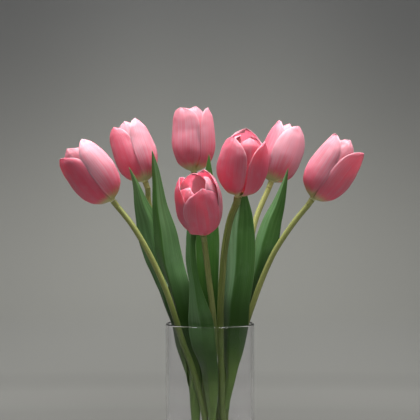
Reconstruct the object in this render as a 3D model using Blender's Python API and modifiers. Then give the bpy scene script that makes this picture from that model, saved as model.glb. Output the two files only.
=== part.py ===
"""Seven pink tulips with their leaves, standing in a clear glass cylinder vase part-filled with water.

Metres, +Z up.  The origin is the centre of the vase's flat underside, and the front faces -Y.
"""

import math

import bmesh
import bpy
import numpy as np
from mathutils import Matrix, Vector

# Vase and water
VASE_RADIUS = 0.045
VASE_HEIGHT = 0.200
WALL = 0.003
VASE_FLOOR = 0.010
FOOT_ROUND = 0.0015
VASE_SIDES = 48
RIM_STEPS = 6
WATER_LEVEL = 0.085

# Gap between pieces that touch on the real thing
GAP = 0.0003

# Points closer than this are one point, and slopes are measured over this share of a curve
WELD = 1e-5
TANGENT_STEP = 0.01

# Stems
STEM_RADIUS = 0.0031
STEM_TOP_SHARE = 0.90
STEM_POINTS = 25
STEM_NECK = 0.009
HOLE_GAP = 0.0004
HOLE_DEPTH = 0.004

# Blooms
PETAL_THICKNESS = 0.0009
PETAL_ROWS = 8
PETAL_COLUMNS = 4
PETAL_ROW_CROWDING = 1.3
PETAL_WIDEST_AT = 0.45
PETAL_FOOT_WIDTH = 0.80
PETAL_TIP_BLUNTNESS = 3.2
OVERLAP_STARTS_AT = 0.3
RECEPTACLE_SIDES = 12
RECEPTACLE_BOTTOM = 0.0032
RECEPTACLE_TOP = 0.0050
RECEPTACLE_LOW = -0.0015
RECEPTACLE_HIGH = 0.0045
OUTER_OVERLAP = 0.0012
INNER_INSET = 0.0028
OUTER_SPREAD = math.radians(64)
INNER_SPREAD = math.radians(52)

# Leaves
LEAF_THICKNESS = 0.0008
LEAF_ROWS = 16
LEAF_COLUMNS = 4
SHEATH_HALF_WIDTH = 0.0052
SHEATH_ROWS = 3
SHEATH_RISE = 0.006
SHEATH_GAP = 0.0010
CREASE_SHARE = 0.5

# Cup of a bloom from its foot to its lip: share of the radius, share of the length
CUP = (
    (0.13, 0.00),
    (0.44, 0.05),
    (0.74, 0.14),
    (0.92, 0.27),
    (1.00, 0.43),
    (0.985, 0.60),
    (0.92, 0.76),
    (0.80, 0.89),
    (0.62, 1.00),
)

# Each stem from the vase's floor up, as points on its centre line
STEMS = {
    "stem_1": (
        (0.0030, -0.0270, 0.0110),
        (-0.0005, -0.0180, 0.0550),
        (-0.0045, -0.0090, 0.1000),
        (-0.0111, -0.0090, 0.1325),
        (-0.0190, -0.0105, 0.1590),
        (-0.0262, -0.0120, 0.1790),
        (-0.0355, -0.0145, 0.2085),
        (-0.0437, -0.0155, 0.2330),
        (-0.0540, -0.0165, 0.2570),
        (-0.0670, -0.0170, 0.2820),
        (-0.0800, -0.0165, 0.3025),
    ),
    "stem_2": (
        (-0.0225, -0.0165, 0.0112),
        (-0.0190, -0.0070, 0.0550),
        (-0.0145, 0.0030, 0.1000),
        (-0.0175, 0.0070, 0.1361),
        (-0.0267, 0.0140, 0.1763),
        (-0.0374, 0.0230, 0.2220),
        (-0.0470, 0.0310, 0.2579),
        (-0.0564, 0.0340, 0.2890),
        (-0.0640, 0.0345, 0.3220),
    ),
    "stem_3": (
        (-0.0263, 0.0096, 0.0112),
        (-0.0170, 0.0125, 0.0550),
        (-0.0050, 0.0128, 0.1000),
        (-0.0052, 0.0170, 0.1293),
        (-0.0052, 0.0260, 0.1799),
        (-0.0080, 0.0360, 0.2312),
        (-0.0130, 0.0440, 0.2834),
        (-0.0180, 0.0480, 0.3256),
    ),
    "stem_4": (
        (0.0258, -0.0109, 0.0112),
        (0.0140, -0.0130, 0.0550),
        (0.0035, -0.0150, 0.1000),
        (0.0040, -0.0200, 0.1494),
        (0.0042, -0.0265, 0.1870),
        (0.0025, -0.0345, 0.2168),
        (-0.0010, -0.0450, 0.2468),
        (-0.0040, -0.0540, 0.2720),
    ),
    "stem_5": (
        (0.0278, 0.0060, 0.0112),
        (0.0220, -0.0040, 0.0550),
        (0.0130, -0.0100, 0.1000),
        (0.0116, -0.0130, 0.1480),
        (0.0105, -0.0165, 0.1796),
        (0.0105, -0.0220, 0.2152),
        (0.0120, -0.0270, 0.2454),
        (0.0145, -0.0320, 0.2764),
        (0.0200, -0.0375, 0.3060),
    ),
    "stem_6": (
        (-0.0072, 0.0265, 0.0112),
        (0.0010, 0.0200, 0.0550),
        (0.0082, 0.0115, 0.1000),
        (0.0196, 0.0160, 0.1501),
        (0.0289, 0.0230, 0.2010),
        (0.0354, 0.0300, 0.2421),
        (0.0418, 0.0335, 0.2784),
        (0.0490, 0.0375, 0.3080),
    ),
    "stem_7": (
        (0.0180, 0.0210, 0.0110),
        (0.0180, 0.0120, 0.0550),
        (0.0157, 0.0025, 0.1000),
        (0.0190, 0.0010, 0.1300),
        (0.0248, -0.0005, 0.1530),
        (0.0312, -0.0020, 0.1780),
        (0.0370, -0.0030, 0.2000),
        (0.0439, -0.0040, 0.2205),
        (0.0530, -0.0050, 0.2455),
        (0.0660, -0.0065, 0.2740),
        (0.0849, -0.0075, 0.3025),
    ),
}

# Each bloom: stem, foot, the way it points, full width, length, turns of its outer petals from the front
# in degrees, and the side of each petal that lies outside its neighbour (-1 left, 1 right)
BLOOMS = {
    "bloom_1": ("stem_1", (-0.0985, -0.0150, 0.3255), (-40.5, -5, 53.5), 0.0515, 0.0670, (-52, 68, 188), -1),
    "bloom_2": ("stem_2", (-0.0680, 0.0330, 0.3455), (-23.9, 12, 66.3), 0.0475, 0.0665, (-58, 65, 184), -1),
    "bloom_3": ("stem_3", (-0.0170, 0.0500, 0.3563), (-1.1, 8, 68.5), 0.0485, 0.0665, (-38, 92, 207), -1),
    "bloom_4": ("stem_4", (-0.0067, -0.0620, 0.2933), (-7.0, -25, 47.2), 0.0475, 0.0595, (25, 140, 265), -1),
    "bloom_5": ("stem_5", (0.0275, -0.0420, 0.3297), (8.7, -18, 56.8), 0.0515, 0.0620, (-48, 73, 193), -1),
    "bloom_6": ("stem_6", (0.0648, 0.0420, 0.3455), (23.0, 13, 59.4), 0.0475, 0.0640, (-72, 38, 160), -1),
    "bloom_7": ("stem_7", (0.1041, -0.0080, 0.3271), (37.7, -5, 55.3), 0.0505, 0.0680, (-64, 56, 174), -1),
}

# Each leaf: stem that it clasps, height of its foot, way its keel faces there, then its keel line as
# x, y, z, half width, way the keel faces, and turn of the blade from keel to edge.
# Ways are in degrees from the front, positive to the right.
LEAVES = {
    "leaf_1": (
        "stem_2", 0.125, -150,
        (
            (-0.0246, 0.0114, 0.1460, 0.0048, -122, 30),
            (-0.0284, 0.0088, 0.1570, 0.0055, -94, 30),
            (-0.0350, 0.0060, 0.1765, 0.0072, -68, 28),
            (-0.0388, 0.0015, 0.1985, 0.0082, -70, 22),
            (-0.0438, 0.0035, 0.2130, 0.0078, -65, 26),
            (-0.0486, 0.0105, 0.2300, 0.0068, -42, 32),
            (-0.0508, 0.0172, 0.2450, 0.0105, -12, 40),
            (-0.0535, 0.0176, 0.2605, 0.0140, 8, 45),
            (-0.0565, 0.0172, 0.2740, 0.0155, 12, 45),
            (-0.0595, 0.0165, 0.2880, 0.0165, 15, 45),
            (-0.0625, 0.0150, 0.3035, 0.0150, 18, 45),
            (-0.0688, 0.0120, 0.3200, 0.0100, 20, 45),
            (-0.0753, 0.0090, 0.3415, 0.0042, 22, 45),
            (-0.0833, 0.0060, 0.3600, 0.0, 25, 45),
        ),
    ),
    "leaf_2": (
        "stem_2", 0.088, -5,
        (
            (-0.0172, -0.0030, 0.1270, 0.0060, -15, 44),
            (-0.0194, -0.0035, 0.1505, 0.0080, -30, 56),
            (-0.0243, -0.0048, 0.1710, 0.0096, -34, 58),
            (-0.0299, -0.0060, 0.1985, 0.0120, -38, 62),
            (-0.0349, -0.0070, 0.2190, 0.0150, -38, 62),
            (-0.0399, -0.0075, 0.2380, 0.0176, -36, 60),
            (-0.0445, -0.0070, 0.2565, 0.0200, -26, 58),
            (-0.0475, -0.0070, 0.2745, 0.0195, -20, 55),
            (-0.0496, -0.0060, 0.2930, 0.0170, -20, 52),
            (-0.0532, -0.0040, 0.3180, 0.0110, -20, 48),
            (-0.0548, -0.0030, 0.3405, 0.0070, -20, 45),
            (-0.0565, -0.0030, 0.3575, 0.0045, -20, 42),
            (-0.0588, -0.0030, 0.3765, 0.0, -20, 40),
        ),
    ),
    "leaf_3": (
        "stem_4", 0.098, -20,
        (
            (0.0018, -0.0240, 0.1300, 0.0056, -20, 50),
            (0.0006, -0.0275, 0.1480, 0.0068, -20, 46),
            (-0.0020, -0.0330, 0.1660, 0.0092, -10, 38),
            (-0.0056, -0.0365, 0.1820, 0.0120, -5, 32),
            (-0.0072, -0.0385, 0.2015, 0.0115, -5, 32),
            (-0.0103, -0.0430, 0.2170, 0.0090, -12, 36),
            (-0.0154, -0.0460, 0.2415, 0.0062, -10, 34),
            (-0.0189, -0.0475, 0.2640, 0.0058, -10, 30),
            (-0.0191, -0.0475, 0.2810, 0.0052, -10, 28),
            (-0.0181, -0.0465, 0.2975, 0.0050, -10, 25),
            (-0.0176, -0.0440, 0.3160, 0.0, -10, 25),
        ),
    ),
    "leaf_4": (
        "stem_4", 0.126, 180,
        (
            (0.0015, -0.0120, 0.1620, 0.0066, 180, 35),
            (0.0008, -0.0080, 0.1795, 0.0080, 180, 32),
            (-0.0005, -0.0050, 0.2145, 0.0095, 180, 30),
            (-0.0020, -0.0030, 0.2445, 0.0115, 180, 26),
            (-0.0025, -0.0010, 0.2695, 0.0128, 180, 24),
            (-0.0025, 0.0010, 0.2900, 0.0125, 180, 22),
            (-0.0020, 0.0040, 0.3200, 0.0090, 180, 20),
            (-0.0015, 0.0070, 0.3455, 0.0055, 180, 18),
            (-0.0010, 0.0110, 0.3735, 0.0, 180, 15),
        ),
    ),
    "leaf_5": (
        "stem_7", 0.112, -25,
        (
            (0.0190, -0.0060, 0.1460, 0.0080, -26, 60),
            (0.0195, -0.0085, 0.1635, 0.0120, -27, 58),
            (0.0202, -0.0100, 0.1790, 0.0150, -28, 56),
            (0.0212, -0.0110, 0.1990, 0.0175, -28, 54),
            (0.0216, -0.0120, 0.2215, 0.0188, -28, 52),
            (0.0237, -0.0120, 0.2395, 0.0200, -28, 50),
            (0.0252, -0.0120, 0.2595, 0.0210, -26, 48),
            (0.0262, -0.0120, 0.2820, 0.0205, -23, 46),
            (0.0272, -0.0120, 0.2970, 0.0185, -20, 44),
            (0.0292, -0.0130, 0.3120, 0.0145, -16, 42),
            (0.0307, -0.0140, 0.3280, 0.0080, -12, 40),
            (0.0307, -0.0140, 0.3530, 0.0, -10, 40),
        ),
    ),
    "leaf_6": (
        "stem_6", 0.118, 10,
        (
            (0.0232, 0.0095, 0.1530, 0.0060, 35, 45),
            (0.0280, 0.0085, 0.1760, 0.0070, 35, 42),
            (0.0335, 0.0085, 0.2000, 0.0080, 30, 40),
            (0.0412, 0.0110, 0.2325, 0.0120, 0, 50),
            (0.0474, 0.0115, 0.2550, 0.0150, -15, 52),
            (0.0520, 0.0120, 0.2760, 0.0180, -28, 52),
            (0.0557, 0.0125, 0.2890, 0.0170, -28, 50),
            (0.0608, 0.0130, 0.3040, 0.0140, -28, 48),
            (0.0680, 0.0130, 0.3200, 0.0095, -28, 45),
            (0.0741, 0.0120, 0.3370, 0.0050, -28, 42),
            (0.0806, 0.0110, 0.3590, 0.0, -28, 40),
        ),
    ),
    "leaf_7": (
        "stem_3", 0.104, 180,
        (
            (-0.0060, 0.0255, 0.1400, 0.0062, 180, 45),
            (-0.0060, 0.0310, 0.1650, 0.0080, 180, 30),
            (-0.0060, 0.0355, 0.1900, 0.0095, 180, 26),
            (-0.0050, 0.0450, 0.2250, 0.0115, 180, 26),
            (-0.0040, 0.0550, 0.2600, 0.0100, 180, 26),
            (-0.0030, 0.0650, 0.2950, 0.0065, 180, 25),
            (-0.0020, 0.0740, 0.3250, 0.0, 180, 25),
        ),
    ),
    "leaf_8": (
        "stem_6", 0.106, 182,
        (
            (0.0150, 0.0215, 0.1350, 0.0060, 175, 40),
            (0.0190, 0.0255, 0.1600, 0.0070, 170, 26),
            (0.0228, 0.0298, 0.1900, 0.0072, 165, 24),
            (0.0248, 0.0318, 0.2050, 0.0080, 165, 26),
            (0.0300, 0.0390, 0.2250, 0.0115, 165, 26),
            (0.0350, 0.0470, 0.2580, 0.0100, 165, 26),
            (0.0380, 0.0540, 0.2880, 0.0060, 165, 25),
            (0.0400, 0.0600, 0.3160, 0.0, 165, 25),
        ),
    ),
}

ROOT_NAME = "tulips_in_vase"


def clear_scene():
    for old in list(bpy.data.objects):
        bpy.data.objects.remove(old)


def material(name, colour, roughness, transmission=0.0):
    made = bpy.data.materials.new(name)
    made.use_nodes = True
    shader = made.node_tree.nodes["Principled BSDF"]
    shader.inputs["Base Color"].default_value = (*colour, 1.0)
    shader.inputs["Roughness"].default_value = roughness
    shader.inputs["Metallic"].default_value = 0.0
    shader.inputs["Transmission Weight"].default_value = transmission
    return made


def add_object(name, mesh, finish, collection):
    """Links a mesh as a named object with its material."""
    made = bpy.data.objects.new(name, mesh)
    if finish is not None:
        mesh.materials.clear()
        mesh.materials.append(finish)
    collection.objects.link(made)
    return made


def mesh_from(name, working):
    """Turns a bmesh into a smooth-shaded mesh and frees it."""
    mesh = bpy.data.meshes.new(name)
    working.to_mesh(mesh)
    working.free()
    mesh.shade_smooth()
    return mesh


def along(rows, share):
    """Row of values at a share from 0 to 1 of a smooth curve through all the rows."""
    rows = np.asarray(rows, float)
    last = len(rows) - 1
    place = min(max(share, 0.0), 1.0) * last
    start = min(int(place), last - 1)
    t = place - start
    a = rows[start]
    b = rows[start + 1]
    before = rows[start - 1] if start > 0 else 2 * a - b
    after = rows[start + 2] if start + 2 <= last else 2 * b - a
    slope_a = (b - before) / 2
    slope_b = (after - a) / 2
    return (
        (2 * t**3 - 3 * t**2 + 1) * a
        + (t**3 - 2 * t**2 + t) * slope_a
        + (3 * t**2 - 2 * t**3) * b
        + (t**3 - t**2) * slope_b
    )


def bloom_axis(bloom):
    return Vector(BLOOMS[bloom][2]).normalized()


def stem_route(stem):
    """The stem's points up to its bloom, entering the receptacle along the bloom's own axis."""
    bloom = next(name for name, row in BLOOMS.items() if row[0] == stem)
    foot = Vector(BLOOMS[bloom][1])
    axis = bloom_axis(bloom)
    end = foot + axis * (RECEPTACLE_LOW - GAP)
    neck = foot - axis * STEM_NECK
    return STEMS[stem] + (tuple(neck), tuple(end))


def stem_at_height(stem, height):
    """Point of the stem's centre line at a height."""
    route = stem_route(stem)
    low, high = 0.0, 1.0
    for _ in range(40):
        middle = (low + high) / 2
        if along(route, middle)[2] < height:
            low = middle
        else:
            high = middle
    return Vector(along(route, low))


def tube(name, points, radius, top_share, collection):
    """A round stem as a curve through its points, with filled ends."""
    curve = bpy.data.curves.new(name, "CURVE")
    curve.dimensions = "3D"
    curve.bevel_depth = radius
    curve.bevel_resolution = 2
    curve.use_fill_caps = True
    line = curve.splines.new("POLY")
    line.points.add(len(points) - 1)
    for index, point in enumerate(points):
        line.points[index].co = (*point, 1.0)
        share = index / (len(points) - 1)
        line.points[index].radius = 1.0 - (1.0 - top_share) * share
    made = bpy.data.objects.new(name, curve)
    collection.objects.link(made)
    return made


def as_mesh(made):
    """Replaces a curve object by the mesh that it makes, with its caps welded on."""
    graph = bpy.context.evaluated_depsgraph_get()
    graph.update()
    mesh = bpy.data.meshes.new_from_object(made.evaluated_get(graph))
    working = bmesh.new()
    working.from_mesh(mesh)
    bmesh.ops.remove_doubles(working, verts=working.verts, dist=WELD)
    bmesh.ops.recalc_face_normals(working, faces=working.faces)
    working.to_mesh(mesh)
    working.free()
    name = made.name
    place = made.matrix_world.copy()
    collection = made.users_collection[0]
    bpy.data.objects.remove(made)
    result = bpy.data.objects.new(name, mesh)
    result.matrix_world = place
    collection.objects.link(result)
    return result


def stem_points(stem):
    """Evenly spaced points of the stem, the last stretch straight along the bloom's axis."""
    route = stem_route(stem)
    points = [Vector(along(route, i / (STEM_POINTS - 1))) for i in range(STEM_POINTS)]
    points[-2] = Vector(route[-2])
    return points


def make_stem(stem, finish, collection):
    made = as_mesh(tube(stem, stem_points(stem), STEM_RADIUS, STEM_TOP_SHARE, collection))
    made.data.materials.append(finish)
    made.data.shade_smooth()
    return made


def turned(name, profile, sides, collection):
    """A solid turned about Z from a profile of radius and height, run down the outer side."""
    mesh = bpy.data.meshes.new(name)
    points = [(radius, 0.0, height) for radius, height in profile]
    edges = [(i, i + 1) for i in range(len(points) - 1)]
    mesh.from_pydata(points, edges, [])
    made = bpy.data.objects.new(name, mesh)
    collection.objects.link(made)
    screw = made.modifiers.new("turn", "SCREW")
    screw.steps = sides
    screw.render_steps = sides
    screw.use_merge_vertices = True
    screw.merge_threshold = WELD
    screw.use_smooth_shade = True
    return made


def make_vase(finish, collection):
    inner = VASE_RADIUS - WALL
    lip = WALL / 2
    middle = VASE_RADIUS - lip
    rim = []
    for step in range(RIM_STEPS + 1):
        angle = math.pi * (1 - step / RIM_STEPS)
        rim.append((middle + lip * math.cos(angle), VASE_HEIGHT - lip + lip * math.sin(angle)))
    foot = [(VASE_RADIUS, FOOT_ROUND), (VASE_RADIUS - FOOT_ROUND, 0.0)]
    profile = [(0.0, VASE_FLOOR), (inner, VASE_FLOOR)] + rim + foot + [(0.0, 0.0)]
    made = turned("vase", profile, VASE_SIDES, collection)
    made.data.materials.append(finish)
    return made


def make_water(finish, collection, cutters):
    """A cylinder of water inside the glass, with a plain hole round each stem."""
    radius = VASE_RADIUS - WALL - GAP
    low = VASE_FLOOR + GAP
    working = bmesh.new()
    bmesh.ops.create_cone(
        working,
        cap_ends=True,
        segments=VASE_SIDES,
        radius1=radius,
        radius2=radius,
        depth=WATER_LEVEL - low,
        matrix=Matrix.Translation((0, 0, (WATER_LEVEL + low) / 2)),
    )
    water = add_object("water", mesh_from("water", working), finish, collection)
    for stem in STEMS:
        points = stem_points(stem)
        wet = [point for point in points if point.z < WATER_LEVEL]
        points = points[:len(wet) + 2]
        below = points[0] + (points[0] - points[1]).normalized() * HOLE_DEPTH
        as_mesh(tube(stem + "_hole", [below] + points, STEM_RADIUS + HOLE_GAP, 1.0, cutters))
    cut = water.modifiers.new("stem holes", "BOOLEAN")
    cut.operation = "DIFFERENCE"
    cut.operand_type = "COLLECTION"
    cut.collection = cutters
    for helper in cutters.objects:
        helper.hide_render = True
        helper.display_type = "WIRE"
    return water


def cup_point(up, radius, length):
    """Radius and height on the bloom's cup, and the outward direction there."""
    place = along(CUP, up) * (radius, length)
    ahead = along(CUP, min(up + TANGENT_STEP, 1.0)) * (radius, length)
    behind = along(CUP, max(up - TANGENT_STEP, 0.0)) * (radius, length)
    run = ahead - behind
    outward = np.array((run[1], -run[0])) / np.hypot(*run)
    return place, outward


def half_spread(up, widest):
    """Half the angle that a petal spans round the cup, fullest in the middle and closed at the tip."""
    if up < PETAL_WIDEST_AT:
        low = max(up / PETAL_WIDEST_AT, 0.0)
        return widest * (PETAL_FOOT_WIDTH + (1.0 - PETAL_FOOT_WIDTH) * low * low * (3 - 2 * low))
    high = (up - PETAL_WIDEST_AT) / (1.0 - PETAL_WIDEST_AT)
    return widest * math.sqrt(max(0.0, 1.0 - high**PETAL_TIP_BLUNTNESS))


def petal_point(across, up, turn, radius, length, whorl, outside):
    """Point of a petal in the bloom's own frame: whorl 0 is the outer three and whorl 1 the inner three."""
    (ring, height), outward = cup_point(up, radius, length)
    angle = turn + across * half_spread(up, INNER_SPREAD if whorl else OUTER_SPREAD)
    fade = min(up / OVERLAP_STARTS_AT, 1.0)
    offset = -INNER_INSET if whorl else OUTER_OVERLAP * outside * across * fade
    ring += outward[0] * offset
    height += outward[1] * offset
    return Vector((ring * math.sin(angle), -ring * math.cos(angle), height))


def make_petal(name, frame, turn, radius, length, whorl, outside, collection):
    working = bmesh.new()
    bmesh.ops.create_grid(working, x_segments=PETAL_COLUMNS, y_segments=PETAL_ROWS, size=1.0)
    for vert in working.verts:
        across = vert.co.x
        up = 1.0 - (1.0 - (vert.co.y + 1) / 2) ** PETAL_ROW_CROWDING
        vert.co = frame @ petal_point(across, up, turn, radius, length, whorl, outside)
    bmesh.ops.remove_doubles(working, verts=working.verts, dist=WELD)
    bmesh.ops.triangulate(working, faces=working.faces)
    petal = add_object(name, mesh_from(name, working), None, collection)
    skin = petal.modifiers.new("thickness", "SOLIDIFY")
    skin.thickness = PETAL_THICKNESS
    skin.offset = 0.0
    skin.use_even_offset = True
    return petal


def bloom_frame(bloom):
    """Matrix that stands a bloom on its foot along its axis, with its front towards -Y."""
    axis = bloom_axis(bloom)
    right = Vector((1, 0, 0))
    right = (right - axis * right.dot(axis)).normalized()
    back = axis.cross(right)
    turn = Matrix((right, back, axis)).transposed().to_4x4()
    return Matrix.Translation(BLOOMS[bloom][1]) @ turn


def make_bloom(bloom, finish, collection):
    """Three outer and three inner petals grown from a receptacle, fused into one solid."""
    _, _, _, width, length, turns, outside = BLOOMS[bloom]
    radius = width / 2 - OUTER_OVERLAP - PETAL_THICKNESS / 2
    frame = bloom_frame(bloom)
    working = bmesh.new()
    bmesh.ops.create_cone(
        working,
        cap_ends=True,
        segments=RECEPTACLE_SIDES,
        radius1=RECEPTACLE_BOTTOM,
        radius2=RECEPTACLE_TOP,
        depth=RECEPTACLE_HIGH - RECEPTACLE_LOW,
        matrix=frame @ Matrix.Translation((0, 0, (RECEPTACLE_HIGH + RECEPTACLE_LOW) / 2)),
    )
    made = add_object(bloom, mesh_from(bloom, working), finish, collection)
    petals = bpy.data.collections.new(bloom + "_petals")
    bpy.context.scene.collection.children.link(petals)
    angles = [math.radians(turn) for turn in turns]
    for index, turn in enumerate(angles):
        make_petal(f"{bloom}_outer_{index}", frame, turn, radius, length, 0, outside, petals)
        between = (turn + angles[(index + 1) % 3] + (2 * math.pi if index == 2 else 0)) / 2
        make_petal(f"{bloom}_inner_{index}", frame, between, radius, length, 1, outside, petals)
    fuse = made.modifiers.new("fuse petals", "BOOLEAN")
    fuse.operation = "UNION"
    fuse.operand_type = "COLLECTION"
    fuse.solver = "MANIFOLD"
    fuse.collection = petals
    graph = bpy.context.evaluated_depsgraph_get()
    graph.update()
    mesh = bpy.data.meshes.new_from_object(made.evaluated_get(graph))
    made.modifiers.clear()
    made.data = mesh
    for petal in list(petals.objects):
        bpy.data.objects.remove(petal)
    bpy.data.collections.remove(petals)
    return made


def leaf_rows(leaf):
    """Rows of a leaf from its foot up: x, y, z, half width, facing, crease at the keel, turn to the edge."""
    stem, foot, foot_facing, free = LEAVES[leaf]
    sheath_radius = STEM_RADIUS + SHEATH_GAP + LEAF_THICKNESS / 2
    way = math.radians(foot_facing)
    rows = []
    for index in range(SHEATH_ROWS):
        height = foot + index * SHEATH_RISE
        rise = (stem_at_height(stem, height + SHEATH_RISE) - stem_at_height(stem, height)).normalized()
        keel = Vector((math.sin(way), -math.cos(way), 0.0))
        keel = (keel - rise * keel.dot(rise)).normalized()
        centre = stem_at_height(stem, height) + keel * sheath_radius
        rows.append((*centre, SHEATH_HALF_WIDTH, way, 0.0, SHEATH_HALF_WIDTH / sheath_radius))
    for x, y, z, half_width, facing, turn in free:
        edge = math.radians(turn)
        rows.append((x, y, z, half_width, math.radians(facing), edge * CREASE_SHARE, edge))
    return rows


def leaf_point(rows, across, up):
    """Point of the leaf's middle surface: two arched halves that fall back from the keel line."""
    x, y, z, half_width, way, crease, edge = along(rows, up)
    run = along(rows, min(up + TANGENT_STEP, 1.0)) - along(rows, max(up - TANGENT_STEP, 0.0))
    rise = Vector(run[:3]).normalized()
    keel = Vector((math.sin(way), -math.cos(way), 0.0))
    side = rise.cross(keel).normalized()
    keel = side.cross(rise)
    curl = edge - crease
    turn = crease + abs(across) * curl
    length = half_width / curl
    reach = math.copysign(length * (math.sin(turn) - math.sin(crease)), across)
    sink = length * (math.cos(crease) - math.cos(turn))
    return Vector((x, y, z)) + side * reach - keel * sink


def make_leaf(leaf, finish, collection):
    rows = leaf_rows(leaf)
    working = bmesh.new()
    bmesh.ops.create_grid(working, x_segments=LEAF_COLUMNS, y_segments=LEAF_ROWS, size=1.0)
    for vert in working.verts:
        vert.co = leaf_point(rows, vert.co.x, (vert.co.y + 1) / 2)
    bmesh.ops.remove_doubles(working, verts=working.verts, dist=WELD)
    bmesh.ops.triangulate(working, faces=working.faces)
    made = add_object(leaf, mesh_from(leaf, working), finish, collection)
    skin = made.modifiers.new("thickness", "SOLIDIFY")
    skin.thickness = LEAF_THICKNESS
    skin.offset = 0.0
    skin.use_even_offset = True
    return made


def main():
    clear_scene()
    collection = bpy.data.collections.new(ROOT_NAME)
    cutters = bpy.data.collections.new("cutters")
    bpy.context.scene.collection.children.link(collection)
    bpy.context.scene.collection.children.link(cutters)

    glass = material("clear glass", (0.96, 0.98, 0.98), 0.02, transmission=1.0)
    clear_water = material("water", (0.95, 0.98, 0.97), 0.01, transmission=1.0)
    stem_green = material("stem green", (0.33, 0.40, 0.12), 0.45)
    leaf_green = material("leaf green", (0.06, 0.16, 0.06), 0.50)
    petal_pink = material("petal pink", (0.74, 0.16, 0.24), 0.45)

    make_vase(glass, collection)
    make_water(clear_water, collection, cutters)
    for stem in STEMS:
        make_stem(stem, stem_green, collection)
    for leaf in LEAVES:
        make_leaf(leaf, leaf_green, collection)
    for bloom in BLOOMS:
        make_bloom(bloom, petal_pink, collection)


main()
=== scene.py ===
import math
import random
from collections import namedtuple

import bmesh
import bpy
import numpy as np
from mathutils import Matrix, Vector, noise


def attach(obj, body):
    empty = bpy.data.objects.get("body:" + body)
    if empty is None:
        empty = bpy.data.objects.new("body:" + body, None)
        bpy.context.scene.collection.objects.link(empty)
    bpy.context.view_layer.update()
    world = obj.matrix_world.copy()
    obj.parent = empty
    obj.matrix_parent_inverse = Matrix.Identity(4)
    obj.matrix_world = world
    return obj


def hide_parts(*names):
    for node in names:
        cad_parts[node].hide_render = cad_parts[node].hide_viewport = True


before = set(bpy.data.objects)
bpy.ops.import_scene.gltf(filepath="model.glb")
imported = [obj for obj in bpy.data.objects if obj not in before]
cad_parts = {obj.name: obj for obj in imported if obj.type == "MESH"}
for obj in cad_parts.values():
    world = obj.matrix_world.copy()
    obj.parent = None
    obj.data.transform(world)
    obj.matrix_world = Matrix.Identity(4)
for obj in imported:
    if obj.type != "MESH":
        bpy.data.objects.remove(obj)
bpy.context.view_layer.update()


# Vase: a plain cylinder of clear mould-blown glass with a thick flat base and a fire-polished lip.
# It is one piece of glass, turned here from its wall section, and light falls through it onto the stems.
VASE_RADIUS = 0.045
VASE_HEIGHT = 0.200
WALL = 0.003
VASE_FLOOR = 0.010
FOOT_ROUND = 0.0015
INSIDE_CORNER = 0.002
ARC_STEPS = 10
FULL_TURN = 2 * math.pi
TURN_STEPS = 144
SUPPORT = 0.0004
WELD = 1e-5
GLASS_TINT = (0.985, 0.980, 0.995, 1.0)
GLASS_GLOSS = (0.56, 0.56, 0.58, 1.0)
GLASS_BENDING = 1.45


def arc(centre, radius, start, end, steps):
    """Points of an arc in the plane of radius and height, its angles in degrees from straight outwards."""
    points = []
    for step in range(steps + 1):
        angle = math.radians(start + (end - start) * step / steps)
        points.append((centre[0] + radius * math.cos(angle), centre[1] + radius * math.sin(angle)))
    return points


def supported(profile):
    """The section with a point close to each end of its straight runs, so that they shade as flat."""
    points = [profile[0]]
    for start, end in zip(profile, profile[1:]):
        length = math.dist(start, end)
        if length > 4 * SUPPORT:
            for share in (SUPPORT / length, 1.0 - SUPPORT / length):
                radius = start[0] + (end[0] - start[0]) * share
                height = start[1] + (end[1] - start[1]) * share
                points.append((radius, height))
        points.append(end)
    return points


def linked_object(name, working, finishes):
    """Makes a working mesh an object of the scene, with its finishes."""
    mesh = bpy.data.meshes.new(name)
    working.to_mesh(mesh)
    working.free()
    for finish in finishes:
        mesh.materials.append(finish)
    made = bpy.data.objects.new(name, mesh)
    bpy.context.scene.collection.objects.link(made)
    return made


def finished_piece(name, working, finishes, is_sheet=False):
    """Welds a working mesh, turns a solid's faces outwards and makes it a smooth piece of the object."""
    bmesh.ops.remove_doubles(working, verts=working.verts, dist=WELD)
    if not is_sheet:
        bmesh.ops.recalc_face_normals(working, faces=working.faces)
    piece = linked_object(name, working, finishes)
    piece.data.shade_smooth()
    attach(piece, "root")
    return piece


def spin_points(working, corners, turn, steps):
    """Joins a row of points by edges and spins them round the vertical axis, closed after a full turn."""
    edges = [working.edges.new(pair) for pair in zip(corners, corners[1:])]
    bmesh.ops.spin(
        working,
        geom=corners + edges,
        cent=(0.0, 0.0, 0.0),
        axis=(0.0, 0.0, 1.0),
        dvec=(0.0, 0.0, 0.0),
        angle=turn,
        steps=steps,
        use_merge=turn == FULL_TURN,
    )


def turned_piece(name, profile, finish):
    """Turns a piece of the object from its section of radius and height."""
    working = bmesh.new()
    corners = [working.verts.new((radius, 0.0, height)) for radius, height in supported(profile)]
    spin_points(working, corners, FULL_TURN, TURN_STEPS)
    return finished_piece(name, working, [finish])


def clear_finish(name, tint, bending):
    """Perfectly smooth material that light passes through, with its tint and how far it bends light."""
    finish = bpy.data.materials.new(name)
    finish.use_nodes = True
    shader = finish.node_tree.nodes["Principled BSDF"]
    shader.inputs["Base Color"].default_value = tint
    shader.inputs["Roughness"].default_value = 0.0
    shader.inputs["IOR"].default_value = bending
    shader.inputs["Transmission Weight"].default_value = 1.0
    return finish


clear_glass = clear_finish("clear vase glass", GLASS_TINT, GLASS_BENDING)
clear_glass.node_tree.nodes["Principled BSDF"].inputs["Specular Tint"].default_value = GLASS_GLOSS

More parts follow.
